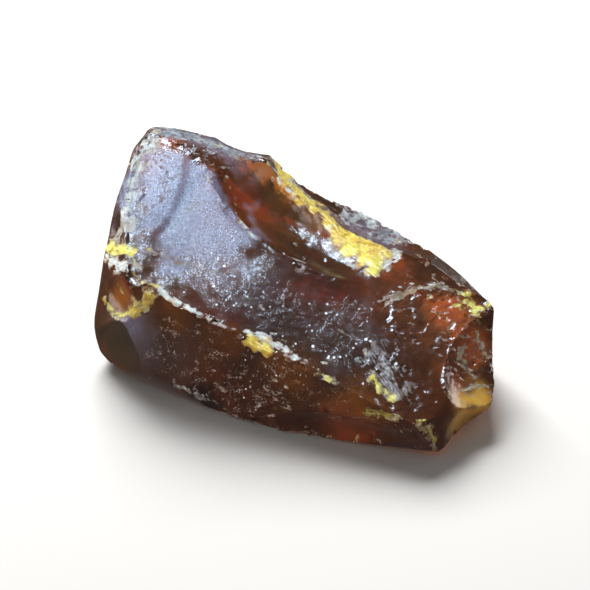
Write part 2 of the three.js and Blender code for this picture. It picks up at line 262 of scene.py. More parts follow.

# Bruised places, full of small white specks that are partly chips and partly painted glints, and places
# with fine pale hair lines.
BRUISED_AND_GLINTING = (
    ((3.5, -4.4, 10.8), 6.0, 0.9), ((8.3, -3.7, 9.7), 6.0, 1.0), ((-2.0, -5.5, 12.0), 5.0, 0.8),
    ((13.1, -3.0, 8.7), 4.5, 0.8), ((-4.0, -7.1, 11.9), 4.5, 1.0), ((-8.6, -6.4, 13.0), 4.0, 0.7),
    ((-3.1, 5.0, 12.5), 2.6, 0.4), ((-6.4, 3.8, 13.2), 2.2, 0.4), ((-0.5, -12.2, 5.7), 3.5, 0.7),
    ((5.3, -10.8, 6.1), 3.5, 0.7), ((2.2, -12.2, 3.4), 4.0, 0.9), ((18.5, -3.2, 7.2), 3.0, 0.6),
    ((0.0, 14.0, 6.0), 9.0, 0.5), ((-22.0, 0.0, 9.0), 6.0, 0.5),
)
CRACKLED = (
    ((-16.6, 4.6, 18.6), 1.8, 0.9), ((-14.7, 4.8, 17.7), 1.8, 0.9), ((-20.9, -2.9, 17.4), 2.2, 0.8),
    ((-18.8, -6.2, 15.7), 2.2, 0.8), ((10.6, 6.5, 11.9), 2.4, 0.7), ((12.5, 5.0, 10.6), 2.6, 0.6),
    ((20.4, 3.8, 6.2), 2.6, 0.8), ((17.9, 1.6, 8.6), 2.4, 0.6), ((-2.9, -13.5, 2.3), 2.6, 0.8),
    ((1.3, -12.8, 1.9), 3.0, 0.9), ((5.6, -11.3, 3.8), 2.6, 0.7), ((22.0, -6.0, 3.5), 2.2, 0.8),
    ((17.9, 8.0, 10.3), 2.0, 0.8), ((1.5, 12.0, 11.6), 3.0, 0.7),
    ((-8.0, -13.4, 6.0), 4.5, 0.95), ((-3.0, -12.6, 6.5), 4.5, 0.95), ((4.0, -11.5, 6.0), 4.5, 0.85),
    ((11.0, -10.0, 4.5), 4.5, 0.75),
    ((-8.0, 14.5, 5.0), 6.0, 0.6), ((14.0, 13.0, 5.0), 5.0, 0.6), ((-21.0, 4.0, 6.0), 5.0, 0.6),
)

# Flat facets split off the lump's corners: a place on each and its outward direction.
SPLITS = (
    ((-11.1, -14.7, 4.5), (-0.14, -0.98, 0.01)),
)

# Torn places, combed into fine ridges: middle, the ridges' run, reach along and across, spacing, height.
HACKLE = (
    ((14.6, -4.6, 7.9), (0.95, -0.25, -0.3), 3.6, 2.4, 0.55, 0.096),
    ((18.5, -3.0, 7.4), (0.6, -0.75, -0.2), 4.0, 2.6, 0.80, 0.030),
    ((-1.2, -13.2, 2.2), (0.9, 0.1, -0.5), 3.6, 1.8, 0.60, 0.096),
    ((3.5, -12.2, 2.3), (0.9, 0.2, 0.5), 4.0, 2.0, 0.65, 0.096),
    ((7.8, -10.8, 4.2), (0.8, 0.2, 0.6), 3.0, 2.0, 0.55, 0.072),
    ((5.0, -6.0, 10.0), (0.9, 0.3, -0.3), 8.0, 3.6, 0.80, 0.022),
    ((-5.0, -9.5, 12.2), (0.9, 0.2, -0.3), 6.0, 2.0, 0.60, 0.042),
    ((20.6, 3.4, 6.2), (0.5, 0.6, -0.6), 3.0, 2.6, 0.60, 0.072),
    ((-17.4, 7.0, 18.6), (0.95, 0.25, -0.1), 9.0, 1.4, 0.45, 0.060),
    ((1.0, 12.0, 11.8), (0.9, -0.1, -0.4), 5.0, 2.2, 0.55, 0.072),
    ((-4.0, 8.6, 14.4), (0.85, -0.2, -0.4), 7.0, 1.6, 0.45, 0.072),
    ((5.2, 6.2, 12.7), (0.9, 0.1, -0.1), 3.0, 2.4, 0.50, 0.072),
    ((-12.0, 13.8, 3.0), (0.2, 0.2, 0.9), 6.0, 5.0, 0.90, 0.16),
    ((8.0, 14.2, 3.0), (-0.3, 0.2, 0.9), 6.0, 6.0, 0.90, 0.16),
    ((-21.5, 4.0, 4.0), (0.1, 0.4, 0.9), 6.0, 5.0, 0.90, 0.16),
)

# Larger single flakes off the edges: place, facing, along, length, breadth, depth, paleness, colour.
FLAKES = (
    ((2.3, -10.2, 9.7), (0.1, -0.7, 0.7), (0.9, 0.1, -0.2), 3.6, 2.6, 0.55, 0.3, GOLD),
    ((9.5, -9.1, 8.0), (0.1, -0.75, 0.65), (0.95, 0.1, -0.3), 3.6, 1.7, 0.40, 0.2, LEMON),
    ((15.6, -6.3, 7.2), (0.3, -0.3, 0.9), (0.8, -0.4, -0.3), 4.0, 1.7, 0.35, 0.2, LEMON),
    ((17.0, -8.5, 5.3), (0.2, -0.95, 0.2), (0.95, 0.2, 0.0), 4.0, 1.4, 0.30, 0.2, LEMON),
    ((21.6, -7.1, 4.8), (0.8, -0.6, 0.2), (0.3, 0.2, -0.9), 3.4, 1.8, 0.40, 0.1, LEMON),
    ((17.6, 8.2, 10.5), (0.3, 0.3, 0.9), (0.8, 0.5, -0.2), 3.6, 2.2, 0.45, 0.2, TAN),
    ((-12.4, -12.4, 12.9), (-0.2, -0.6, 0.8), (0.95, 0.1, -0.2), 3.4, 1.7, 0.35, 0.2, CHALK),
    ((11.5, 6.5, 11.5), (0.25, 0.0, 0.95), (0.9, 0.4, -0.1), 4.0, 1.5, 0.35, 0.0, TAN),
    ((4.6, -12.4, 0.6), (0.1, -0.9, -0.3), (0.95, 0.2, 0.0), 3.5, 1.5, 0.40, 0.1, CHALK),
    ((-1.6, -13.5, 0.7), (0.1, -0.9, -0.3), (0.95, 0.1, 0.0), 4.5, 1.6, 0.45, 0.1, CHALK),
    ((-18.2, -9.0, 12.6), (-0.7, -0.4, 0.6), (0.5, -0.7, -0.4), 2.6, 1.8, 0.40, 0.2, LEMON),
)

# Places broken into small facets: middle, reach, strength.
BROKEN = (
    ((15.5, 3.5, 9.7), 6.0, 1.0), ((20.0, 3.0, 7.0), 5.0, 1.0), ((14.5, -5.0, 7.9), 4.0, 0.8),
    ((19.0, -5.5, 6.0), 3.5, 0.7), ((2.0, -12.9, 1.8), 6.0, 0.7), ((7.5, -11.0, 3.5), 4.0, 0.5),
    ((2.5, 12.0, 11.5), 5.0, 1.0), ((-21.0, -2.5, 17.2), 4.0, 0.8), ((-17.0, 6.0, 18.8), 6.0, 0.5),
    ((-12.0, 13.5, 4.0), 6.0, 0.7), ((8.0, 14.5, 3.5), 6.0, 0.7), ((-21.5, 3.5, 5.0), 5.0, 0.7),
)

# Places shattered into many slivers: middle, reach, which way the slivers lie, how many, colour.
SHATTERED = (
    ((15.5, 4.5, 9.9), 4.5, (0.9, 0.5, -0.3), 40, TAN),
    ((20.0, 4.0, 7.0), 4.0, (0.2, 0.8, -0.5), 34, TAN),
    ((16.0, 8.0, 10.6), 4.0, (0.9, -0.1, -0.3), 26, LEMON),
    ((15.0, -4.8, 7.8), 3.6, (0.8, -0.5, -0.3), 26, SILVER_SHEEN_AND_CRUST),
    ((19.0, -6.5, 5.8), 3.5, (0.8, -0.3, -0.5), 18, TAN),
    ((-20.8, -2.0, 17.3), 5.0, (0.3, -0.9, -0.3), 36, CHALK),
    ((-17.5, 6.0, 18.7), 6.0, (0.95, 0.2, -0.1), 36, CHALK),
    ((2.5, 12.0, 11.5), 4.5, (0.9, -0.2, -0.3), 30, CHALK),
    ((2.0, -12.8, 1.6), 6.0, (0.9, 0.2, -0.2), 22, TAN),
    ((-1.0, 5.0, 12.5), 3.2, (0.8, -0.5, -0.3), 16, TAN),
    ((5.0, -7.5, 9.5), 6.0, (0.9, 0.2, -0.3), 14, TAN),
    ((-15.0, -11.0, 13.0), 4.0, (0.7, -0.5, -0.3), 20, LEMON),
    ((22.3, -6.0, 3.0), 3.0, (0.2, 0.3, -0.9), 14, LEMON),
    ((-4.0, 14.0, 11.0), 5.0, (0.9, 0.0, -0.3), 24, TAN),
    ((14.0, 13.0, 8.0), 4.0, (0.8, -0.4, 0.2), 18, CHALK),
    ((-21.0, 3.0, 4.0), 5.0, (0.1, 0.5, 0.8), 20, TAN),
    ((-16.0, 9.5, 13.0), 4.0, (0.8, 0.4, 0.4), 18, CHALK),
    ((-5.0, 15.0, 2.0), 5.0, (0.9, 0.0, 0.3), 18, TAN),
)


# ------------------------------------------------------------------ small tools for the skin

def between(low, high, value):
    """0 below low, 1 above high, and smooth in between."""
    t = np.clip((value - low) / (high - low), 0, 1)
    return t * t * (3 - 2 * t)


def unit(vector):
    vector = np.asarray(vector, float)
    return vector / np.linalg.norm(vector)


def lie_of(outward, along):
    """Three directions for a patch of surface: along it, across it and out of it."""
    up = unit(outward)
    forward = unit(np.asarray(along, float) - up * (np.asarray(along, float) @ up))
    return np.stack([forward, np.cross(up, forward), up])


def scramble(cell, seed):
    """A random whole number for each cell."""
    h = (cell[:, 0] * 73856093 ^ cell[:, 1] * 19349663 ^ cell[:, 2] * 83492791) + seed * 7919
    h = (h ^ (h >> 13)) * 1274126177 & 0x7FFFFFFF
    return (h ^ (h >> 15)) * 69069 & 0x7FFFFFFF


def grain(points, pitch, seed):
    """Smooth random values from about -1 to 1, whose features are about pitch apart."""
    q = points / pitch + 31.7 * seed
    cell = np.floor(q).astype(np.int64)
    part = q - cell
    fade = part**3 * (part * (part * 6 - 15) + 10)
    total = np.zeros(len(points))
    for corner in range(8):
        step = np.array([corner & 1, corner >> 1 & 1, corner >> 2 & 1])
        h = scramble(cell + step, seed)
        up = (h & 0xFFFF) / 32767.5 - 1
        turn = (h >> 16 & 0x7FFF) * (math.tau / 32768)
        flat = np.sqrt(np.maximum(0, 1 - up * up))
        lean = (part - step) * np.stack([flat * np.cos(turn), flat * np.sin(turn), up], 1)
        total += np.prod(np.where(step, fade, 1 - fade), 1) * lean.sum(1)
    return total * 1.7


def layered(points, pitch, seed, layers=3):
    """grain in several sizes, each half as wide and half as strong as the one before."""
    return sum(grain(points, pitch / 2**i, seed + i) / 2**i for i in range(layers))


def facets(points, size, seed):
    """Random tilted facets, as a height for each point: a shattered surface."""
    q = points / size
    cell = np.floor(q).astype(np.int64)
    nearest = np.full(len(points), 1e9)
    height = np.zeros(len(points))
    for corner in range(27):
        other = cell + np.array([corner % 3 - 1, corner // 3 % 3 - 1, corner // 9 - 1])
        h = scramble(other, seed)
        site = other + np.stack([h & 0x3FF, h >> 10 & 0x3FF, h >> 20 & 0x3FF], 1) / 1024
        h = scramble(other, seed + 1)
        tilt = np.stack([h & 0x3FF, h >> 10 & 0x3FF, h >> 20 & 0x3FF], 1) / 512 - 1
        away = q - site
        far = (away * away).sum(1)
        wins = far < nearest
        nearest = np.where(wins, far, nearest)
        height = np.where(wins, (away * tilt).sum(1) + 0.4 * tilt[:, 0], height)
    return height * size


def along_path(points, path):
    """How far each point is from a path of straight stretches, and which way the path runs there."""
    nearest, way = np.full(len(points), 1e9), np.zeros((len(points), 3))
    for a, b in zip(np.array(path[:-1], float), np.array(path[1:], float)):
        stretch = b - a
        t = np.clip((points - a) @ stretch / (stretch @ stretch), 0, 1)
        far = np.linalg.norm(points - a - t[:, None] * stretch, axis=1)
        nearest = np.minimum(nearest, far)
        way += unit(stretch) / (far**2 + 0.2)[:, None]
    return nearest, way / np.linalg.norm(way, axis=1)[:, None]


class Skin:
    """The lump's surface as points and triangles, in millimetres, with what covers each point."""

    def __init__(self, mesh):
        count = len(mesh.vertices)
        flat = np.empty(count * 3)
        mesh.vertices.foreach_get("co", flat)
        self.points = flat.reshape(-1, 3) / MM
        edges = np.empty(len(mesh.edges) * 2, np.int64)
        mesh.edges.foreach_get("vertices", edges)
        self.ends = edges.reshape(-1, 2)
        mesh.calc_loop_triangles()
        corners = np.empty(len(mesh.loop_triangles) * 3, np.int64)
        mesh.loop_triangles.foreach_get("vertices", corners)
        self.faces = corners.reshape(-1, 3)
        self.neighbours = np.bincount(self.ends.ravel(), minlength=count)
        self.cover = np.zeros(count)
        self.hide = np.zeros(count)
        self.tint = np.tile(np.array(CHALK), (count, 1))
        self.streak = self.points.copy()
        self.body = np.tile(np.array(BROWN), (count, 1))
        self.milk = np.full(count, 0.08)

    def normals(self):
        a, b, c = (self.points[self.faces[:, i]] for i in range(3))
        cross = np.repeat(np.cross(b - a, c - a), 3, 0)
        total = np.stack([np.bincount(self.faces.ravel(), side, len(self.points)) for side in cross.T], 1)
        return total / np.maximum(np.linalg.norm(total, axis=1), 1e-12)[:, None]

    def blurred(self, values, rounds):
        """values averaged with the neighbours', again and again."""
        left, right = self.ends.T
        columns = np.array(values, float).reshape(len(self.points), -1)
        for _ in range(rounds):
            mean = np.stack([np.bincount(left, column[right], len(column))
                             + np.bincount(right, column[left], len(column))
                             for column in columns.T], 1)
            columns = (columns + mean / self.neighbours[:, None]) / 2
        return columns.reshape(np.shape(values))

    def sharpness(self, rounds):
        """Above 0 on outward edges and below 0 in grooves, in millimetres."""
        return ((self.points - self.blurred(self.points, rounds)) * self.normals()).sum(1)

    def push(self, amount):
        self.points += self.normals() * np.asarray(amount)[:, None]

    def coat(self, where, cover, colour, hide, streak=None):
        """Covers some points, where the new cover is thicker than what is there."""
        wins = cover > self.cover[where]
        at = where[wins]
        self.tint[at] = colour
        self.hide[at] = hide
        self.cover[at] = cover[wins]
        if streak is not None:
            self.streak[at] = streak[wins]

    def flake(self, place, facing, along, length, breadth, depth, pale=0.0, colour=CHALK):
        """Knocks one small shell-shaped chip out of the surface."""
        basis = lie_of(facing, along)
        lift = 1.2 * depth
        reach = depth + lift
        spread = math.sqrt(1 - (lift / reach) ** 2)
        size = np.array([length / 2 / spread, breadth / 2 / spread, reach])
        middle = np.asarray(place, float) + basis[2] * lift
        near = np.flatnonzero(np.abs(self.points - middle).max(1) < size.max())
        local = (self.points[near] - middle) @ basis.T / size
        ball = np.linalg.norm(local, axis=1)
        inside = (ball < 1) & (local[:, 2] < -0.1)
        near, local, ball = near[inside], local[inside], np.maximum(ball[inside], 0.05)
        self.points[near] = middle + (local / ball[:, None] * size) @ basis
        if pale:
            self.coat(near, between(0.0, 0.2, 1 - ball) * pale, colour, 0.7)


# ------------------------------------------------------------------ the skin's shape

def fine_mesh():
    """A fine, even mesh over the solid lump."""
    raw = bpy.data.objects.new("amber_raw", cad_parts["amber"].data.copy())
    bpy.context.scene.collection.objects.link(raw)
    weld = raw.modifiers.new("weld", "WELD")
    weld.merge_threshold = 0.001 * MM
    remesh = raw.modifiers.new("remesh", "REMESH")
    remesh.mode = "VOXEL"
    remesh.voxel_size = FINENESS * MM
    mesh = bpy.data.meshes.new_from_object(raw.evaluated_get(bpy.context.evaluated_depsgraph_get()))
    bpy.data.objects.remove(raw)
    return mesh


def shell_chips(skin):
    """Rounds each large chip off to its true shell and raises the ripples of the break."""
    for middle, outward, along, length, breadth, depth, side, pitch, height in CHIPS:
        if not height:
            continue
        basis = lie_of(outward, along)
        lift = ROUNDNESS * depth
        reach = depth + lift
        spread = math.sqrt(1 - (lift / reach) ** 2)
        size = np.array([length / 2 / spread, breadth / 2 / spread, reach])
        middle = np.array(middle) - MIDDLE
        local = (skin.points - middle - basis[2] * lift) @ basis.T
        ball = np.linalg.norm(local / size, axis=1)
        slope = local / size**2
        steep = np.linalg.norm(slope, axis=1)
        away = (ball - 1) * ball / steep
        sunk = local[:, 2] + lift
        on = (1 - between(0.06, 0.14, np.abs(away))) * (1 - between(-0.12, 0.0, sunk))
        outwards = slope / steep[:, None] @ basis
        skin.points -= outwards * (away * on)[:, None]
        blow = middle + basis[0] * side * length / 2
        wave = np.linalg.norm(skin.points - blow, axis=1) / pitch
        wave += 0.5 * grain(skin.points, 5.0, 11) + 0.15 * grain(skin.points, 1.6, 12)
        wave -= np.floor(wave)
        rib = 4 * wave * (1 - wave) - 0.66
        patchy = between(-0.35, 0.5, grain(skin.points, 4.0, 13))
        skin.points -= outwards * (height * rib * on * patchy)[:, None]


def on_broad_face(skin):
    """1 on the broad face and 0 elsewhere."""
    height = (skin.points + MIDDLE) @ BROAD_FACE - BROAD_HEIGHT
    facing = skin.blurred(skin.normals(), 6) @ BROAD_FACE
    return between(-1.3, -0.9, height) * between(0.86, 0.95, facing)


def soften_broad_face(skin):
    """Melts the shallow dishes of the broad face into each other, and leaves its sharp edges."""
    soft = on_broad_face(skin) * (1 - between(0.02, 0.05, np.abs(skin.sharpness(6))))
    skin.points += (skin.blurred(skin.points, 60) - skin.points) * skin.blurred(soft, 3)[:, None]


def flatten_broad_face(skin):
    """Levels the broad face, with its left third leaning back a little."""
    height = (skin.points + MIDDLE) @ BROAD_FACE - BROAD_HEIGHT
    on = skin.blurred(on_broad_face(skin) * (1 - between(0.55, 0.95, -height)), 10)
    bend = -0.0030 * np.clip(-9.0 - skin.points[:, 0], 0, None) ** 2
    skin.push(on * np.clip(bend - 0.22 - height, -0.25, 0.40))


def split_facets(skin):
    """Splits the flat facets off, and remembers where."""
    skin.split = np.zeros(len(skin.points))
    for place, facing in SPLITS:
        above = np.clip((skin.points - place) @ unit(facing), 0, None)
        skin.points -= above[:, None] * unit(facing)
        skin.split = np.maximum(skin.split, between(0.0, 0.04, above))


def broad_face_step(skin):
    """The one low step across the matt face, where two layers of the break meet."""
    x, y, _ = skin.points.T
    bend = -14.9 - 0.33 * (y + 1.0) - 0.035 * (y + 1.0) ** 2
    side = x - bend + 0.12 * grain(skin.points, 2.0, 21)
    ends = between(-8.0, -6.0, y) * (1 - between(2.6, 4.2, y))
    skin.push(-0.15 * between(-1.0, 0.0, side) * (1 - between(0.0, 7.0, side)) * ends * on_broad_face(skin))


def comb_hackle(skin):
    """Ridges of the torn places."""
    for number, (middle, run, far_along, far_across, pitch, height) in enumerate(HACKLE):
        near = np.flatnonzero(np.linalg.norm(skin.points - middle, axis=1) < 1.6 * max(far_along, far_across))
        if not len(near):
            continue
        normals = skin.normals()[near]
        basis = lie_of(normals.mean(0), run)
        local = (skin.points[near] - middle) @ basis.T
        local[:, 1] += 0.08 * local[:, 0] ** 2 / far_along
        reach = (local[:, 0] / far_along) ** 2 + (local[:, 1] / far_across) ** 2 + (local[:, 2] / 2.5) ** 2
        on = 1 - between(0.3, 1.1, reach + 0.5 * grain(skin.points[near], 1.5, 60 + number))
        combed = local * (0.16, 1.0, 0.4)
        ridge = 1 - 2 * np.abs(grain(combed, pitch, 80 + number))
        ridge += 0.5 * grain(combed, pitch / 2, 81 + number)
        skin.points[near] += normals * (height * (ridge - 0.6) * on)[:, None]


def edge_flakes(skin):
    """Small chips along every outward edge, and the larger ones in their places."""
    dice = np.random.default_rng(5)
    sharp = skin.sharpness(5)
    normals = skin.normals()
    sites = np.flatnonzero(sharp > 0.04)
    for at in dice.choice(sites, 340, replace=False):
        place, facing = skin.points[at].copy(), unit(normals[at] + 0.5 * unit(dice.normal(size=3)))
        breadth = 0.4 + 0.9 * dice.random() ** 2.5
        depth = breadth * (0.08 + 0.10 * dice.random())
        pale = 0.8 * dice.random() ** 3
        colour = (CHALK, SILVER_SHEEN_AND_CRUST, TAN, LEMON)[dice.integers(4)]
        skin.flake(place - facing * depth * 0.5, facing, dice.normal(size=3),
                   breadth * (1.2 + dice.random()),
                   breadth, depth, pale, colour)
    for place, facing, along, length, breadth, depth, pale, colour in FLAKES:
        skin.flake(place, facing, along, length, breadth, depth, pale, colour)


def slivers(skin):
    """Small pale slivers where the surface is shattered."""
    dice = np.random.default_rng(9)
    normals = skin.normals()
    for middle, reach, along, count, colour in SHATTERED:
        near = np.flatnonzero(np.linalg.norm(skin.points - middle, axis=1) < reach)
        for at in dice.choice(near, min(count, len(near)), replace=False):
            breadth = 0.24 + 0.22 * dice.random() ** 2
            facing = unit(normals[at] + 0.25 * unit(dice.normal(size=3)))
            skin.flake(skin.points[at] - facing * 0.03, facing, unit(along) + 0.35 * unit(dice.normal(size=3)),
                       breadth * (2 + 5 * dice.random()), breadth, 0.05 + 0.07 * dice.random(),
                       0.25 + 0.55 * dice.random(), colour if dice.random() < 0.7 else BONE)


def lay_crust(skin):
    """Pale weathered crust along its paths, ragged towards its sides and fibrous along its run."""
    for number, (colour, half, cover, ragged, hide, path) in enumerate(CRUST):
        low, high = np.min(path, 0) - 3 * half, np.max(path, 0) + 3 * half
        near = np.flatnonzero(((skin.points > low) & (skin.points < high)).all(1))
        points = skin.points[near]
        far, way = along_path(points, path)
        rough = layered(points, max(0.6, 1.2 * half), 40 + number, 3)
        cover = cover * (1 - between(0.25, 1.5, far / half + ragged * rough))
        away = points - np.mean(path, 0)
        streak = points - 0.88 * (away * way).sum(1)[:, None] * way
        skin.coat(near, cover, colour, hide, streak)
    patchy = layered(skin.points, 1.3, 55, 3)
    for colour, much in ((CHALK, between(0.25, 0.9, patchy)), (HUSK, between(0.2, 0.8, -patchy))):
        skin.tint += (np.array(colour) - skin.tint) * 0.7 * much[:, None]


def light_up(skin):
    """Blends the colours of the resin under the skin into each other."""
    sway = layered(skin.points, 7.0, 50, 3)[:, None]
    skin.body *= 1 + 0.25 * sway * (1, 0.6, 0.3)
    for colour, middle, reach, strength, milk in GLOWS:
        far = np.linalg.norm(skin.points - middle, axis=1) / reach + 0.25 * layered(skin.points, reach, 52, 3)
        on = strength * (1 - between(0.2, 1.15, far))
        skin.body += (np.array(colour) - skin.body) * on[:, None]
        skin.milk += (milk - skin.milk) * on
    # Painted shade: the split facet is turned a darker smoky brown and made barely milky.
    skin.body += (np.array(SMOKE) - skin.body) * 0.8 * skin.split[:, None]
    skin.milk += (0.10 - skin.milk) * skin.split


def places(skin, spots, seed):
    """How strongly each point lies within any of some ragged round places."""
    total = np.zeros(len(skin.points))
    warp = 0.35 * layered(skin.points, 2.5, seed, 2)
    for middle, reach, strength in spots:
        far = np.linalg.norm(skin.points - middle, axis=1) / reach + warp
        total = np.maximum(total, strength * (1 - between(0.45, 1.1, far)))
    return total


def shape_skin(skin):
    """Everything that is done to the surface, in order."""
    skin.points = skin.blurred(skin.points, 6)
    shell_chips(skin)
    flatten_broad_face(skin)
    soften_broad_face(skin)
    broad_face_step(skin)
    split_facets(skin)
    above_foot = between(0.0, 1.6, skin.points[:, 2])
    skin.push(above_foot * (0.14 * grain(skin.points, 9.0, 1) + 0.06 * grain(skin.points, 3.7, 2) - 0.06))
    edge_flakes(skin)
    comb_hackle(skin)
    broken = places(skin, BROKEN, 38) * above_foot
    swept = skin.points + 0.5 * layered(skin.points, 3.0, 39, 2)[:, None]
    skin.push(broken * (0.08 * facets(swept, 1.9, 95) + 0.09 * facets(swept, 0.9, 96)))
    slivers(skin)
    lay_crust(skin)
    light_up(skin)
    # The frost, with its painted bluish sheen, lies only on skin that faces upward and not in the gap.
    skin.frost = places(skin, FROSTED_AND_SHEEN, 30) * between(0.1, 0.5, skin.normals()[:, 2])
    off_gap = along_path(skin.points, FROST_GAP)[0] + 0.3 * layered(skin.points, 1.2, 36, 2)
    skin.frost *= between(0.5, 1.4, off_gap)
    skin.bruise = places(skin, BRUISED_AND_GLINTING, 32)
    skin.crackle = places(skin, CRACKLED, 34)
    shattered = facets(skin.points, 0.55, 90) * (0.13 * skin.cover * skin.hide + 0.05 * skin.crackle)
    pitted = (0.010 + 0.012 * skin.frost + 0.014 * skin.bruise) * layered(skin.points, 0.8, 7, 2)
    skin.push(above_foot * (shattered + pitted))
    skin.points[skin.points[:, 2] < 0.02, 2] = 0.0


# ------------------------------------------------------------------ the finish

class Finish:
    """A material's nodes, wired by short words."""

    def __init__(self, name):
        self.material = bpy.data.materials.new(name)
        self.material.use_nodes = True
        self.tree = self.material.node_tree
        self.tree.nodes.clear()

    def node(self, kind, **settings):
        made = self.tree.nodes.new(kind)
        for name, value in settings.items():
            setattr(made, name, value)
        return made

    def feed(self, socket, value):
        if isinstance(value, (int, float)):
            socket.default_value = value
        elif isinstance(value, tuple):
            socket.default_value = (*value, 1)
        else:
            self.tree.links.new(value, socket)

    def calc(self, kind, *values, clamp=False):
        made = self.node("ShaderNodeMath", operation=kind, use_clamp=clamp)
        for socket, value in zip(made.inputs, values):
            self.feed(socket, value)
        return made.outputs[0]

    def ramp(self, value, low, high, to_low=0.0, to_high=1.0):
        made = self.node("ShaderNodeMapRange", interpolation_type="SMOOTHSTEP")
        for socket, number in zip(made.inputs, (value, low, high, to_low, to_high)):
            self.feed(socket, number)
        return made.outputs[0]

    def blend(self, factor, first, second, kind="MIX"):
        made = self.node("ShaderNodeMix", data_type="RGBA", blend_type=kind)
        for socket, value in zip((made.inputs[0], made.inputs[6], made.inputs[7]), (factor, first, second)):
            self.feed(socket, value)
        return made.outputs[2]

    def noise(self, place, scale, detail=3.0, rough=0.5, twist=0.0):
        made = self.node("ShaderNodeTexNoise")
        for name, value in (("Vector", place), ("Scale", scale), ("Detail", detail), ("Roughness", rough),
                            ("Distortion", twist)):
            self.feed(made.inputs[name], value)
        return made.outputs["Fac"]

    def stored(self, name, output="Fac"):
        return self.node("ShaderNodeAttribute", attribute_name=name).outputs[output]


def amber_finish():
    """Clear brown resin, matt where it is frosted and painted with a bluish sheen there, flecked with white
    specks that are partly painted glints, and nearly opaque where it is crusted.
    """
    f = Finish("amber")
    out = f.node("ShaderNodeOutputMaterial")
    resin = f.node("ShaderNodeBsdfPrincipled")
    resin.inputs["IOR"].default_value = 1.54
    resin.inputs["Transmission Weight"].default_value = 1.0
    f.feed(out.inputs["Surface"], resin.outputs[0])
    depth = f.node("ShaderNodeVolumeAbsorption")
    depth.inputs["Color"].default_value = (0.733, 0.533, 0.0, 1)
    depth.inputs["Density"].default_value = 420
    f.feed(out.inputs["Volume"], depth.outputs[0])

    place = f.node("ShaderNodeTexCoord").outputs["Object"]
    streak = f.stored("streak", "Vector")
    cover, hide, frost, bruise, crackle, milk = (
        f.stored(name) for name in ("cover", "hide", "frost", "bruise", "crackle", "milk"))

    # Crust, frayed at its sides into fibres along its run.
    fray = f.calc("SUBTRACT", f.noise(place, 2600, 4, 0.65), 0.5)
    fibre = f.noise(streak, 5.5, 4, 0.7)
    ragged = f.calc("ADD", cover, f.calc("MULTIPLY", f.calc("SUBTRACT", fibre, 0.5), 1.3))
    crust = f.ramp(f.calc("ADD", ragged, f.calc("MULTIPLY", fray, 0.6)), 0.24, 0.92)

    # White specks on bruised skin, partly chips and partly painted glints, fine hair lines, and pale shattered
    # cracks.
    specks = f.node("ShaderNodeTexVoronoi", feature="F1")
    f.feed(specks.inputs["Vector"], place)
    f.feed(specks.inputs["Scale"], 1900)
    odds = f.node("ShaderNodeSeparateColor")
    f.feed(odds.inputs[0], specks.outputs["Color"])
    speck_odds = f.calc("MULTIPLY", f.calc("SUBTRACT", odds.outputs[0], 1.06), 0.75)
    size = f.calc("MULTIPLY_ADD", bruise, 0.42, speck_odds)
    specks_and_glints = f.ramp(f.calc("SUBTRACT", size, specks.outputs["Distance"]), 0.0, 0.06)
    lines = []
    for number, (scale, gap) in enumerate(((380, 0.007), (1000, 0.012))):
        swirl = f.calc("ABSOLUTE", f.calc("SUBTRACT", f.noise(place, scale, 3, 0.55, 1.6), 0.5))
        piece = f.ramp(f.noise(place, 1.3 * scale, 2), 0.48, 0.62)
        lines.append(f.calc("MULTIPLY", f.ramp(swirl, 0.001, gap, 1.0, 0.0), piece))
    hair_cover = f.ramp(f.calc("ADD", f.calc("MULTIPLY", bruise, 0.7), crackle), 0.2, 1.0, 0.08, 0.9)
    hair = f.calc("MULTIPLY", f.calc("MAXIMUM", *lines), hair_cover)
    marks = f.calc("MAXIMUM", specks_and_glints, hair, clamp=True)

    # Colours.
    tint = f.stored("tint", "Color")
    deep = f.blend(1.0, f.blend(1.0, tint, tint, "MULTIPLY"), (0.66, 0.66, 0.66), "MULTIPLY")
    crust_colour = f.blend(f.ramp(fibre, 0.36, 0.60), deep, tint)
    pale_fibre = f.ramp(f.calc("ADD", fibre, f.calc("MULTIPLY", fray, 0.7)), 0.56, 0.76)
    crust_colour = f.blend(pale_fibre, crust_colour, (0.93, 0.90, 0.80))
    pale_grain = f.calc("MAXIMUM", specks_and_glints, f.ramp(f.noise(place, 1300, 2), 0.42, 0.60))
    mark_colour = f.blend(pale_grain, (0.40, 0.34, 0.27), (0.86, 0.86, 0.83))
    # Painted sheen: the frosted skin is blended towards a pale blue and made partly opaque, strongest on the
    # broad face's left, standing in for the mirrored overhead light.
    frost_veil_and_sheen = f.calc("MULTIPLY", frost, f.ramp(f.noise(place, 6200, 2, 0.6), 0.38, 0.62, 0.60, 1.0))
    cloudy = f.ramp(f.noise(place, 260, 4, 0.6, 0.8), 0.35, 0.70, 0.0, 0.55)
    body = f.blend(cloudy, f.stored("body", "Color"), (0.16, 0.07, 0.035))
    clear = f.blend(f.calc("MULTIPLY", frost_veil_and_sheen, 0.9), body, (0.42, 0.52, 0.78))
    skin_colour = f.blend(marks, clear, mark_colour)
    f.feed(resin.inputs["Base Color"], f.blend(crust, skin_colour, crust_colour))
    opaque = f.calc("MAXIMUM", f.calc("MULTIPLY", crust, hide), f.calc("MULTIPLY", marks, 0.85))
    opaque = f.calc("MAXIMUM", opaque, f.calc("MULTIPLY_ADD", frost_veil_and_sheen, 0.38, milk))
    f.feed(resin.inputs["Transmission Weight"], f.calc("SUBTRACT", 1.0, opaque, clamp=True))

    gloss = f.ramp(f.noise(place, 700, 4, 0.6), 0.3, 0.7, 0.10, 0.20)
    matt = f.calc("MULTIPLY", frost, 0.09)
    roughness = f.calc("ADD", f.calc("ADD", gloss, matt), f.calc("MULTIPLY", crust, 0.35), clamp=True)
    f.feed(resin.inputs["Roughness"], roughness)

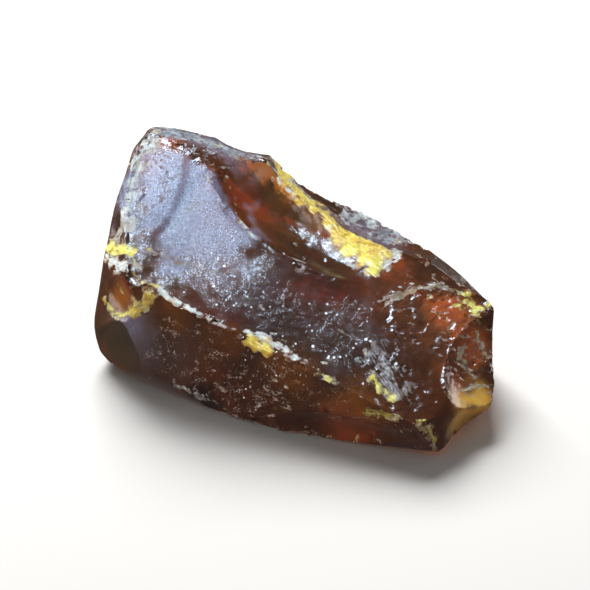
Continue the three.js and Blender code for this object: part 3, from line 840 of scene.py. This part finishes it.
    bump = f.node("ShaderNodeBump")
    f.feed(bump.inputs["Distance"], 0.00014)
    skin_relief = f.calc("MULTIPLY_ADD", frost, 0.30, 0.08)
    mark_relief = f.calc("ADD", f.calc("MULTIPLY", bruise, 0.10), f.calc("MULTIPLY", crust, 0.6))
    f.feed(bump.inputs["Strength"], f.calc("ADD", skin_relief, mark_relief, clamp=True))
    relief = f.calc("ADD", f.noise(place, 3600, 4, 0.65), f.calc("MULTIPLY", fibre, 0.8))
    f.feed(bump.inputs["Height"], relief)
    f.feed(resin.inputs["Normal"], bump.outputs[0])
    return f.material


def make_lump():
    mesh = fine_mesh()
    skin = Skin(mesh)
    shape_skin(skin)
    mesh.vertices.foreach_set("co", (skin.points * MM).ravel())
    for name in ("cover", "hide", "frost", "bruise", "crackle", "milk"):
        mesh.attributes.new(name, "FLOAT", "POINT").data.foreach_set("value", getattr(skin, name))
    mesh.attributes.new("streak", "FLOAT_VECTOR", "POINT").data.foreach_set("vector", skin.streak.ravel())
    for name, colours in (("tint", skin.blurred(skin.tint, 2)), ("body", skin.body)):
        full = np.concatenate([np.clip(colours, 0, 1), np.ones((len(colours), 1))], 1)
        mesh.attributes.new(name, "FLOAT_COLOR", "POINT").data.foreach_set("color", full.ravel())
    mesh.polygons.foreach_set("use_smooth", np.ones(len(mesh.polygons), bool))
    mesh.update()
    mesh.set_sharp_from_angle(angle=math.radians(38))
    mesh.name = "amber_lump"
    mesh.materials.clear()
    mesh.materials.append(amber_finish())
    lump = bpy.data.objects.new("amber_lump", mesh)
    bpy.context.scene.collection.objects.link(lump)
    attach(lump, "root")
    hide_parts("amber")
    print("skin", len(mesh.vertices), "points", len(skin.faces), "triangles")
    return lump


# ------------------------------------------------------------------ the studio

def make_floor():
    mesh = bpy.data.meshes.new("floor")
    reach, drop = 1.5, -0.00003
    sheet_corners = [(-reach, -reach, drop), (reach, -reach, drop), (reach, reach, drop), (-reach, reach, drop)]
    mesh.from_pydata(sheet_corners, [], [(0, 1, 2, 3)])
    paper = bpy.data.materials.new("paper")
    paper.use_nodes = True
    paper.node_tree.nodes["Principled BSDF"].inputs["Base Color"].default_value = (0.80, 0.80, 0.80, 1)
    paper.node_tree.nodes["Principled BSDF"].inputs["Roughness"].default_value = 0.9
    mesh.materials.append(paper)
    floor = bpy.data.objects.new("floor", mesh)
    floor.visible_glossy = False
    bpy.context.scene.collection.objects.link(floor)
    return floor


def make_softbox(name, at, width, height, power, colour, lit):
    light = bpy.data.lights.new(name, "AREA")
    light.shape, light.size, light.size_y = "RECTANGLE", width, height
    light.energy, light.color = power, colour
    lamp = bpy.data.objects.new(name, light)
    lamp.location = at
    lamp.rotation_euler = (Vector((0.0, 0.0, 0.01)) - Vector(at)).to_track_quat("-Z", "Y").to_euler()
    lamp.visible_camera = False
    bpy.context.scene.collection.objects.link(lamp)
    lamp.light_linking.receiver_collection = bpy.data.collections.new("lit by the " + name)
    lamp.light_linking.receiver_collection.objects.link(lit)


def make_studio(lump):
    scene = bpy.context.scene
    scene.view_settings.view_transform = "Standard"
    world = bpy.data.worlds.new("studio")
    world.use_nodes = True
    world.node_tree.nodes["Background"].inputs["Color"].default_value = (1.0, 0.97, 0.94, 1)
    world.node_tree.nodes["Background"].inputs["Strength"].default_value = 0.18
    scene.world = world
    floor = make_floor()
    make_softbox("overhead softbox", (-0.134, 0.036, 0.32), 0.115, 0.10, 1.5, (0.62, 0.81, 1.0), lump)
    make_softbox("front softbox", (-0.26, -0.22, 0.28), 0.40, 0.40, 2.0, (1.0, 0.96, 0.91), lump)
    make_softbox("rear softbox", (0.10, 0.45, 0.07), 0.40, 0.12, 0.65, (1.0, 0.97, 0.93), lump)
    make_softbox("left softbox", (-0.45, 0.14, 0.10), 0.30, 0.20, 0.5, (1.0, 0.97, 0.93), lump)
    make_softbox("back softbox", (-0.274, 0.217, 0.32), 0.28, 0.28, 4.3, (1.0, 0.99, 0.97), floor)

    camera = bpy.data.cameras.new("camera")
    camera.lens, camera.sensor_width = 180, 36
    camera.clip_start = 0.01
    eye = bpy.data.objects.new("camera", camera)
    turn, rise, target = math.radians(35), math.radians(38), Vector((-0.0008, 0.0007, 0.0077))
    back = Vector((math.sin(turn) * math.cos(rise), -math.cos(turn) * math.cos(rise), math.sin(rise)))
    eye.location = target + 0.33 * back
    eye.rotation_euler = back.to_track_quat("Z", "Y").to_euler()
    scene.collection.objects.link(eye)
    scene.camera = eye


make_studio(make_lump())
